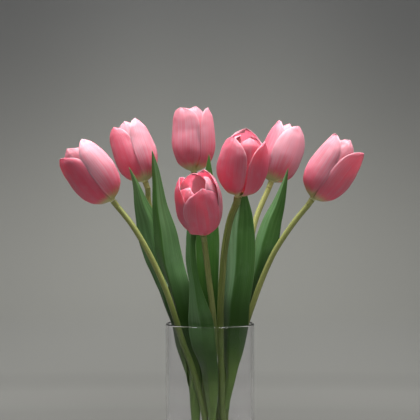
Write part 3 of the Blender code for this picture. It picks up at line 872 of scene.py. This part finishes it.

# Each bloom: its stem, full width and length, how blunt its petals' tips are, then its three outer petals
# and its three inner ones.
# A petal is its turn from the front and half its spread in degrees, its share of the bloom's length, how far
# from the bloom's middle its tip stands as a share of the radius, how far its tip curls in, in degrees, and
# how deep its pink is, from -0.5 for the palest to 1; this depth is painted shade on petals turned from the
# lamp and painted light on those turned to it.
Petal = namedtuple("Petal", "turn spread reach lip curl pink")
BLOOMS = {
    "bloom_1": (
        "stem_1", 0.0515, 0.0670, 3.4,
        ((-52, 65, 0.95, 0.80, 10, 0.75), (68, 67, 0.985, 0.56, 2, 0.05), (188, 64, 0.97, 0.62, 10, 0.4)),
        ((-14, 60, 1.03, 0.68, 8, 0.2), (112, 56, 1.01, 0.56, 8, 0.2), (240, 60, 0.98, 0.62, 8, 0.3)),
    ),
    "bloom_2": (
        "stem_2", 0.0475, 0.0665, 3.0,
        ((-58, 63, 0.96, 0.72, 6, 0.55), (65, 67, 1.00, 0.60, 4, 0.0), (184, 64, 0.98, 0.62, 12, 0.4)),
        ((0, 54, 1.02, 0.56, 8, 0.1), (124, 54, 0.99, 0.50, 20, 0.3), (243, 54, 1.00, 0.54, 16, 0.3)),
    ),
    "bloom_3": (
        "stem_3", 0.0485, 0.0665, 4.4,
        ((-44, 65, 0.99, 0.80, 0, 0.2), (84, 63, 1.02, 0.70, 4, 0.25), (207, 64, 0.98, 0.70, 0, 0.3)),
        ((10, 58, 1.03, 0.70, 4, 0.2), (149, 56, 1.01, 0.60, 8, 0.3), (264, 56, 1.00, 0.64, 8, 0.3)),
    ),
    "bloom_4": (
        "stem_4", 0.0475, 0.0595, 3.8,
        ((25, 67, 0.91, 0.70, 14, 0.6), (131, 67, 1.08, 0.66, 18, 0.5), (262, 64, 1.02, 0.74, 14, 0.9)),
        ((318, 60, 1.01, 0.60, 40, 0.5), (82, 60, 1.09, 0.60, 30, 0.2), (200, 62, 1.10, 0.60, 30, 0.3)),
    ),
    "bloom_5": (
        "stem_5", 0.0515, 0.0620, 3.4,
        ((-59, 67, 0.96, 0.62, 6, 0.6), (75, 65, 0.94, 0.74, 0, 0.8), (190, 66, 1.07, 0.56, 16, 0.1)),
        ((12, 62, 1.12, 0.44, 46, 0.6), (128, 60, 1.06, 0.42, 24, 0.1), (246, 60, 1.05, 0.42, 24, 0.1)),
    ),
    "bloom_6": (
        "stem_6", 0.0475, 0.0640, 2.8,
        ((-72, 60, 1.00, 0.70, 0, 0.5), (38, 65, 0.99, 0.64, 4, -0.3), (160, 64, 0.98, 0.62, 10, 0.4)),
        ((-17, 56, 1.01, 0.60, 6, 0.0), (99, 54, 0.99, 0.60, 8, 0.2), (224, 54, 0.97, 0.54, 16, 0.3)),
    ),
    "bloom_7": (
        "stem_7", 0.0505, 0.0680, 2.7,
        ((-70, 66, 0.97, 0.78, 2, 0.25), (56, 65, 0.965, 0.78, 2, 0.45), (174, 64, 0.98, 0.62, 12, 0.4)),
        ((-18, 54, 1.04, 0.60, 4, 0.1), (92, 58, 0.97, 0.66, 4, 0.2), (215, 56, 1.03, 0.56, 10, 0.3)),
    ),
}


def cup_place(up, radius, length, lip):
    """Radius and height on a petal's own cup, which is drawn in or let out to the petal's lip."""
    ring, height = along(CUP, up)
    top = max(0.0, (up - LIP_BEGINS_AT) / (1.0 - LIP_BEGINS_AT))
    ring += (lip - CUP_LIP) * top * top
    return np.array((ring * radius, height * length))


def petal_profile(radius, length, petal):
    """Radius and height of a petal's midrib, point by point from its foot to its curled-in tip."""
    straight = [
        cup_place(step / PROFILE_STEPS, radius, length * petal.reach, petal.lip)
        for step in range(PROFILE_STEPS + 1)
    ]
    bent = [straight[0]]
    for step in range(1, PROFILE_STEPS + 1):
        across, rise = straight[step] - straight[step - 1]
        top = max(0.0, (step / PROFILE_STEPS - CURL_BEGINS_AT) / (1.0 - CURL_BEGINS_AT))
        turn = math.radians(petal.curl) * top**CURL_GROWTH
        step_in = across * math.cos(turn) - rise * math.sin(turn)
        step_up = across * math.sin(turn) + rise * math.cos(turn)
        bent.append(bent[-1] + np.array((step_in, step_up)))
    return np.array(bent)


def profile_point(profile, up):
    """Place on a petal's midrib, and the outward direction there."""
    run = along(profile, min(up + TANGENT_STEP, 1.0)) - along(profile, max(up - TANGENT_STEP, 0.0))
    outward = np.array((run[1], -run[0])) / np.hypot(*run)
    return along(profile, up), outward


def half_spread(up, widest, bluntness):
    """Half the angle that a petal spans round the cup, fullest in the middle and closed at the tip."""
    if up < PETAL_WIDEST_AT:
        low = max(up / PETAL_WIDEST_AT, 0.0)
        return widest * (PETAL_FOOT_WIDTH + (1.0 - PETAL_FOOT_WIDTH) * low * low * (3 - 2 * low))
    high = (up - PETAL_WIDEST_AT) / (1.0 - PETAL_WIDEST_AT)
    return widest * max(0.0, 1.0 - high**bluntness) ** PETAL_TIP_ROUNDING


def petal_point(across, up, petal, profile, radius, bluntness, inner, waves):
    """Point of a petal's middle surface in the bloom's own frame."""
    turn = math.radians(petal.turn)
    sagging = SIDE_SAG * petal.curl / FULL_CURL * across**2
    (ring, height), outward = profile_point(profile, up * (1.0 - sagging))
    angle = across * half_spread(up, math.radians(petal.spread), bluntness)
    fade = min(up / OVERLAP_STARTS_AT, 1.0)
    offset = -INNER_INSET if inner else -OUTER_OVERLAP * across * fade
    offset -= PETAL_DOME * across**4 * fade
    offset += MIDRIB_RISE * math.exp(-((across / MIDRIB_WIDTH) ** 2)) * fade
    offset += RIB_DEPTH * math.cos(math.pi * RIB_COUNT * across) * fade * (1.0 - up)
    offset += EDGE_WAVE * across**6 * math.sin(waves[0] + waves[1] * up) * fade
    dents = Vector((across * DENTS_ACROSS, up * DENTS_UP, waves[0] * NOISE_SPACING))
    offset += DENT_DEPTH * noise.noise(dents) * fade
    crinkles = Vector((across * CRINKLES_ACROSS, up * CRINKLES_UP, waves[1] * NOISE_SPACING))
    offset += CRINKLE_DEPTH * noise.noise(crinkles) * fade
    bow = max(along(CUP, up)[0] * radius, ring)
    arm = bow + outward[0] * offset
    forward = ring - bow + arm * math.cos(angle)
    sideways = arm * math.sin(angle)
    height += outward[1] * offset
    return Vector((
        forward * math.sin(turn) + sideways * math.cos(turn),
        sideways * math.sin(turn) - forward * math.cos(turn),
        height,
    ))


def bloom_frame(stem):
    """Matrix that stands a bloom on its foot along its axis, with its front towards the viewer."""
    foot, way = BLOOM_SEATS[stem]
    axis = Vector(way).normalized()
    right = Vector((1, 0, 0))
    right = (right - axis * right.dot(axis)).normalized()
    back = axis.cross(right)
    turn = Matrix((right, back, axis)).transposed().to_4x4()
    return Matrix.Translation(foot) @ turn


# Colours of the petals' outer and inner faces: deep, rose, pale, rim and foot. The inner faces are much
# lighter, partly their own colour and partly a painted glow of light passing through the petals into the
# cup.
PETAL_COLOURS = {
    "outside": (
        (0.66, 0.024, 0.082, 1.0),
        (0.60, 0.080, 0.142, 1.0),
        (0.55, 0.245, 0.295, 1.0),
        (0.57, 0.340, 0.375, 1.0),
        (0.42, 0.390, 0.170, 1.0),
    ),
    # Painted glow: the inner faces are lifted far above the outer ones.
    "inside": (
        (0.96, 0.150, 0.220, 1.0),
        (0.96, 0.270, 0.340, 1.0),
        (0.94, 0.480, 0.540, 1.0),
        (0.90, 0.560, 0.600, 1.0),
        (0.80, 0.660, 0.340, 1.0),
    ),
}


def petal_skin(side):
    """Material of the petals' outer or inner faces, with fine streaks from the foot to the tip, paler
    upwards partly as a painted highlight of the lamp over their own paler tips.
    """
    deep, rose, pale, rim_colour, foot_colour = PETAL_COLOURS[side]
    skin = Finish("tulip petal " + side)
    across, up = skin.map_place()
    from_rib = skin.math("ABSOLUTE", skin.math("SUBTRACT", across, 0.5))
    fine = skin.streaks(across, up, fineness=46.0, stretch=1.4)
    veins = skin.streaks(across, up, fineness=100.0, stretch=2.4)
    broad = skin.streaks(across, up, fineness=13.0, stretch=1.6)
    mottle = skin.streaks(across, up, fineness=7.0, stretch=7.0)
    body = skin.blend(skin.span(broad, 0.25, 0.75), deep, rose)
    depth = skin.add("ShaderNodeAttribute", {}, attribute_name="pink_and_painted_shade").outputs["Fac"]
    # Paler towards the tip: partly the petal's own paler top, partly a painted highlight where the lamp
    # falls, leaving the lower body deep as painted shade.
    pale_tip_and_highlight = skin.span(up, 0.02, 0.60, 0.05, 0.95)
    # Painted light and shade: petals set deeper keep their deep body, and petals set paler pale further
    # down.
    pale_tip_and_highlight = skin.math("MULTIPLY", pale_tip_and_highlight, skin.span(depth, -0.5, 1.0, 1.8, 0.15))
    towards_side = skin.span(from_rib, 0.25, 0.50, 0.0, 0.30)
    paling = skin.math("ADD", pale_tip_and_highlight, towards_side)
    paling = skin.math("MULTIPLY", paling, skin.span(fine, 0.30, 0.70, 0.55, 1.20))
    paling = skin.math("MINIMUM", paling, 1.0)
    pink = skin.blend(paling, body, pale)
    pink = skin.blend(skin.span(mottle, 0.45, 0.80, 0.0, 0.35), pink, pale)
    pink = skin.blend(skin.span(veins, 0.48, 0.74, 0.0, 0.34), pink, body)
    rim = skin.math("MAXIMUM", skin.span(from_rib, 0.455, 0.495), skin.span(up, 0.95, 0.995))
    # Painted shade: the pale rim is kept off the lower half, so that the seams between the petals stay dark.
    rim = skin.math("MULTIPLY", rim, skin.span(up, 0.35, 0.75, 0.0, 0.7))
    pink = skin.blend(rim, pink, rim_colour)
    foot_edge = skin.math("ADD", up, skin.span(fine, 0.2, 0.8, -0.05, 0.05))
    pink = skin.blend(skin.span(foot_edge, 0.20, 0.05), pink, foot_colour)
    skin.give("Base Color", pink)
    skin.give("Roughness", skin.span(mottle, 0.3, 0.7, 0.52, 0.64))
    skin.give("Subsurface Weight", 0.9)
    skin.give("Subsurface Radius", (0.0020, 0.0013, 0.0014))
    skin.give("Subsurface Scale", 1.0)
    skin.give("Specular IOR Level", 0.5)
    relief = skin.math("ADD", fine, veins)
    skin.relieve(relief, 0.45)
    return skin.material


petal_finishes = [petal_skin("outside"), petal_skin("inside")]


def green_flesh(name, scale, deep, pale, roughness):
    """Material of a bloom's green inside parts, finely mottled with two colours."""
    skin = Finish(name)
    skin.give("Base Color", skin.blend(skin.grain(skin.place(), scale), deep, pale))
    skin.give("Roughness", roughness)
    return skin.material


receptacle_skin = green_flesh(
    "tulip receptacle skin",
    scale=900.0,
    deep=(0.42, 0.45, 0.16, 1.0),
    pale=(0.62, 0.60, 0.30, 1.0),
    roughness=0.5,
)
pistil_flesh = green_flesh(
    "tulip pistil flesh",
    scale=700.0,
    deep=(0.42, 0.50, 0.20, 1.0),
    pale=(0.66, 0.68, 0.38, 1.0),
    roughness=0.45,
)

POLLEN_DARK = (0.030, 0.012, 0.030, 1.0)
POLLEN_LIGHT = (0.16, 0.09, 0.10, 1.0)
POLLEN_SCALE = 3000.0
BLOOM_SEED = 7

anther_skin = Finish("tulip anther skin")
pollen = anther_skin.grain(anther_skin.place(), POLLEN_SCALE)
dust = anther_skin.blend(anther_skin.span(pollen, 0.4, 0.7), POLLEN_DARK, POLLEN_LIGHT)
anther_skin.give("Base Color", dust)
anther_skin.give("Roughness", 0.8)
anther_skin.relieve(pollen, 0.6)

random.seed(BLOOM_SEED)
for bloom, (stem, width, length, bluntness, outer_petals, inner_petals) in BLOOMS.items():
    radius = width / 2 - CUP_INSET
    seat = bloom_frame(stem)
    working = bmesh.new()
    working.loops.layers.uv.new("UVMap")
    pink_and_painted_shade = working.verts.layers.float.new("pink_and_painted_shade")
    for row in outer_petals + inner_petals:
        petal = Petal(*row)
        inner = row in inner_petals
        waves = (random.uniform(0, FULL_TURN), random.uniform(*EDGE_WAVE_RANGE))
        profile = petal_profile(radius, length, petal)
        grid = bmesh.ops.create_grid(
            working, x_segments=PETAL_COLUMNS, y_segments=PETAL_ROWS, size=1.0, calc_uvs=True
        )
        for vert in grid["verts"]:
            across_petal = vert.co.x
            up_petal = 1.0 - (1.0 - (vert.co.y + 1) / 2) ** PETAL_ROW_CROWDING
            point = petal_point(across_petal, up_petal, petal, profile, radius, bluntness, inner, waves)
            vert.co = seat @ point
            vert[pink_and_painted_shade] = petal.pink
    piece = finished_piece(bloom + "_petals", working, petal_finishes, is_sheet=True)
    add_thickness(piece, PETAL_THICKNESS, back_finish=1)
    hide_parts(bloom)

    cup = turned_piece(bloom + "_receptacle", RECEPTACLE_SECTION, receptacle_skin)
    cup.data.transform(seat)

    pistil = turned_piece(bloom + "_pistil", PISTIL_SECTION, pistil_flesh)
    for vert in pistil.data.vertices:
        way = math.atan2(vert.co.y, vert.co.x)
        lobes = PISTIL_LOBES + STIGMA_LOBES * max(0.0, min(1.0, (vert.co.z - STIGMA_FOOT) / STIGMA_RISE))
        spread = 1.0 + lobes * math.cos(PISTIL_SIDES * way)
        vert.co.x *= spread
        vert.co.y *= spread
    pistil.data.transform(seat)

    working = bmesh.new()
    working.loops.layers.uv.new("UVMap")
    for index in range(STAMEN_COUNT):
        way = FULL_TURN * index / STAMEN_COUNT + random.uniform(-STAMEN_SWAY, STAMEN_SWAY)
        lean = random.uniform(*STAMEN_LEANS)
        out = Vector((math.sin(way), -math.cos(way), 0.0))
        route = [out * (ring * lean) + Vector((0.0, 0.0, height)) for ring, height in STAMEN_LINE]
        shares = [step / FILAMENT_ROWS for step in range(FILAMENT_ROWS + 1)]
        centres = [Vector(along(route, share)) for share in shares]
        swells = [along(FILAMENT_SWELLS, share)[0] for share in shares]
        add_tube(working, [seat @ centre for centre in centres], swells, STAMEN_SIDES, 0)
        top = centres[-1]
        rise = (top - centres[-2]).normalized()
        shares = [step / ANTHER_ROWS for step in range(ANTHER_ROWS + 1)]
        centres = [top + rise * (ANTHER_LENGTH * (share - ANTHER_HANG)) for share in shares]
        swells = [ANTHER_RADIUS * max(ANTHER_TIP, math.sin(math.pi * share)) ** 0.5 for share in shares]
        add_tube(working, [seat @ centre for centre in centres], swells, STAMEN_SIDES, 1)
    stamens = finished_piece(bloom + "_stamens", working, [pistil_flesh, anther_skin.material])


# Studio: a pale round floor of matt painted board that curves up into a wall all round, so that no edge
# shows behind the vase.
FLOOR_RADIUS = 2.4
COVE_RADIUS = 1.6
WALL_TOP = 3.6
COVE_STEPS = 16
PAINT_GRAIN_SCALE = 3.0

# Tones by the distance from the vase, as a share of the floor's radius, in which a way sideways counts for
# less: painted shade, darker under the overhead lamp so that its pool of light reads as an even floor.
# Then painted shade high up on the wall and towards its sides.
NEAR_PAINTED_SHADE = (0.22, 0.22, 0.205, 1.0)
TONES = ((0.236, 0.23), (0.272, 0.31), (0.358, 0.61), (0.465, 0.78), (0.60, 0.80), (0.79, 0.83))
BLUE_SHARE = 0.93
FAR_TONE = (0.88, 0.88, 0.81, 1.0)
HIGH_PAINTED_SHADE = (0.46, 0.465, 0.47, 1.0)
SIDE_PAINTED_SHADE = (0.25, 0.25, 0.255, 1.0)
SIDEWAYS_SHARE = (0.6, 1.0, 1.0)

backdrop = Finish("matt studio grey")
place = backdrop.place()
height = backdrop.add("ShaderNodeSeparateXYZ", {"Vector": place}).outputs["Z"]
grain = backdrop.grain(place, PAINT_GRAIN_SCALE)
drawn_in = backdrop.add("ShaderNodeVectorMath", {0: place, 1: SIDEWAYS_SHARE}, operation="MULTIPLY")
apart = backdrop.add("ShaderNodeVectorMath", {0: drawn_in.outputs["Vector"]}, operation="LENGTH")
distance = backdrop.math("DIVIDE", apart.outputs["Value"], FLOOR_RADIUS)
tones = backdrop.add("ShaderNodeValToRGB", {"Fac": distance})
for share, tone in TONES:
    stop = tones.color_ramp.elements.new(share)
    stop.color = (tone, tone, BLUE_SHARE * tone, 1.0)
tones.color_ramp.elements[0].color = NEAR_PAINTED_SHADE
tones.color_ramp.elements[-1].color = FAR_TONE
# Painted shade: the wall darkens high up.
grey = backdrop.blend(backdrop.span(height, 0.1, 1.6), tones.outputs["Color"], HIGH_PAINTED_SHADE)
# Painted shade: the floor and wall darken towards the sides, more so higher up.
aside = backdrop.math("ABSOLUTE", backdrop.add("ShaderNodeSeparateXYZ", {"Vector": place}).outputs["X"])
to_sides = backdrop.span(aside, 0.2, 0.95)
painted_side_shade = backdrop.math("MULTIPLY", to_sides, backdrop.span(height, 0.0, 1.1, 0.22, 0.5))
grey = backdrop.blend(painted_side_shade, grey, SIDE_PAINTED_SHADE)
backdrop.give("Base Color", grey)
backdrop.give("Roughness", backdrop.span(grain, 0.3, 0.7, 0.85, 0.95))
backdrop.give("Specular IOR Level", 0.1)

cove_section = [(0.0, 0.0)]
cove_section += arc((FLOOR_RADIUS, COVE_RADIUS), COVE_RADIUS, -90, 0, COVE_STEPS)
cove_section += [(FLOOR_RADIUS + COVE_RADIUS, WALL_TOP)]
working = bmesh.new()
corners = [working.verts.new((radius, 0.0, height)) for radius, height in cove_section]
spin_points(working, corners, FULL_TURN, TURN_STEPS)
bmesh.ops.remove_doubles(working, verts=working.verts, dist=WELD)
cove = linked_object("studio_cove", working, [backdrop.material])
cove.data.shade_smooth()


# Flag: a curved black cloth stood round the front, which keeps the pale walls from filling the shade.
# No camera sees it.
FLAG_DISTANCE = 1.05
FLAG_HEIGHT = 1.3
FLAG_HALF_TURN = 80
FLAG_STEPS = 24
CLOTH_GRAIN_SCALE = 400.0
FLAG_BLACK = (0.015, 0.015, 0.015, 1.0)
FLAG_WORN = (0.030, 0.030, 0.030, 1.0)

flag_cloth = Finish("black flag cloth")
weave = flag_cloth.grain(flag_cloth.place(), CLOTH_GRAIN_SCALE)
flag_cloth.give("Base Color", flag_cloth.blend(weave, FLAG_BLACK, FLAG_WORN))
flag_cloth.give("Specular IOR Level", 0.0)

working = bmesh.new()
way = math.radians(FLAG_HALF_TURN)
left = -FLAG_DISTANCE * math.sin(way)
front = -FLAG_DISTANCE * math.cos(way)
corners = [working.verts.new((left, front, height)) for height in (0.0, FLAG_HEIGHT)]
spin_points(working, corners, 2 * way, FLAG_STEPS)
flag = linked_object("front_flag", working, [flag_cloth.material])
flag.visible_camera = False
flag.visible_transmission = False
flag.visible_shadow = False


# Lights: one wide soft lamp hangs over the flowers, and a weak one, unseen in gloss, fills the front.
# The air round them is an even pale glow.
FLOWERS_MIDDLE = (0.0, 0.0, 0.32)
AIR_GLOW = 0.5


def soft_light(name, place, width, depth, spread, power, colour):
    """A flat soft lamp that looks from its place at the flowers, in metres, degrees and watts."""
    lamp = bpy.data.lights.new(name, "AREA")
    lamp.shape = "RECTANGLE"
    lamp.size = width
    lamp.size_y = depth
    lamp.spread = math.radians(spread)
    lamp.energy = power
    lamp.color = colour
    made = bpy.data.objects.new(name, lamp)
    made.location = place
    made.rotation_euler = (Vector(FLOWERS_MIDDLE) - Vector(place)).to_track_quat("-Z", "Y").to_euler()
    bpy.context.scene.collection.objects.link(made)
    return made


soft_light(
    "overhead_light",
    place=(0.0, -0.02, 1.10),
    width=1.3,
    depth=0.50,
    spread=75,
    power=9.2,
    colour=(1.0, 0.99, 0.99),
)
fill = soft_light(
    "front_fill",
    place=(0.3, -1.9, 0.9),
    width=1.2,
    depth=1.2,
    spread=40,
    power=1.4,
    colour=(1.0, 0.98, 1.0),
)
fill.visible_glossy = False

world = bpy.data.worlds.new("studio_air")
world.use_nodes = True
world.node_tree.nodes["Background"].inputs["Color"].default_value = (1.0, 1.0, 1.0, 1.0)
world.node_tree.nodes["Background"].inputs["Strength"].default_value = AIR_GLOW
bpy.context.scene.world = world


# Camera: stands level in front of the vase, as high as the necks of the flowers, as in the photograph.
CAMERA_DISTANCE = 1.193
CAMERA_HEIGHT = 0.315
SENSOR_WIDTH = 36.0
FOCAL_LENGTH = 100.5

camera_data = bpy.data.cameras.new("photo_camera")
camera_data.sensor_width = SENSOR_WIDTH
camera_data.lens = FOCAL_LENGTH
camera = bpy.data.objects.new("photo_camera", camera_data)
camera.location = (0.0, -CAMERA_DISTANCE, CAMERA_HEIGHT)
camera.rotation_euler = (math.radians(90), 0.0, 0.0)
bpy.context.scene.collection.objects.link(camera)
bpy.context.scene.camera = camera
bpy.context.scene.view_settings.view_transform = "Standard"
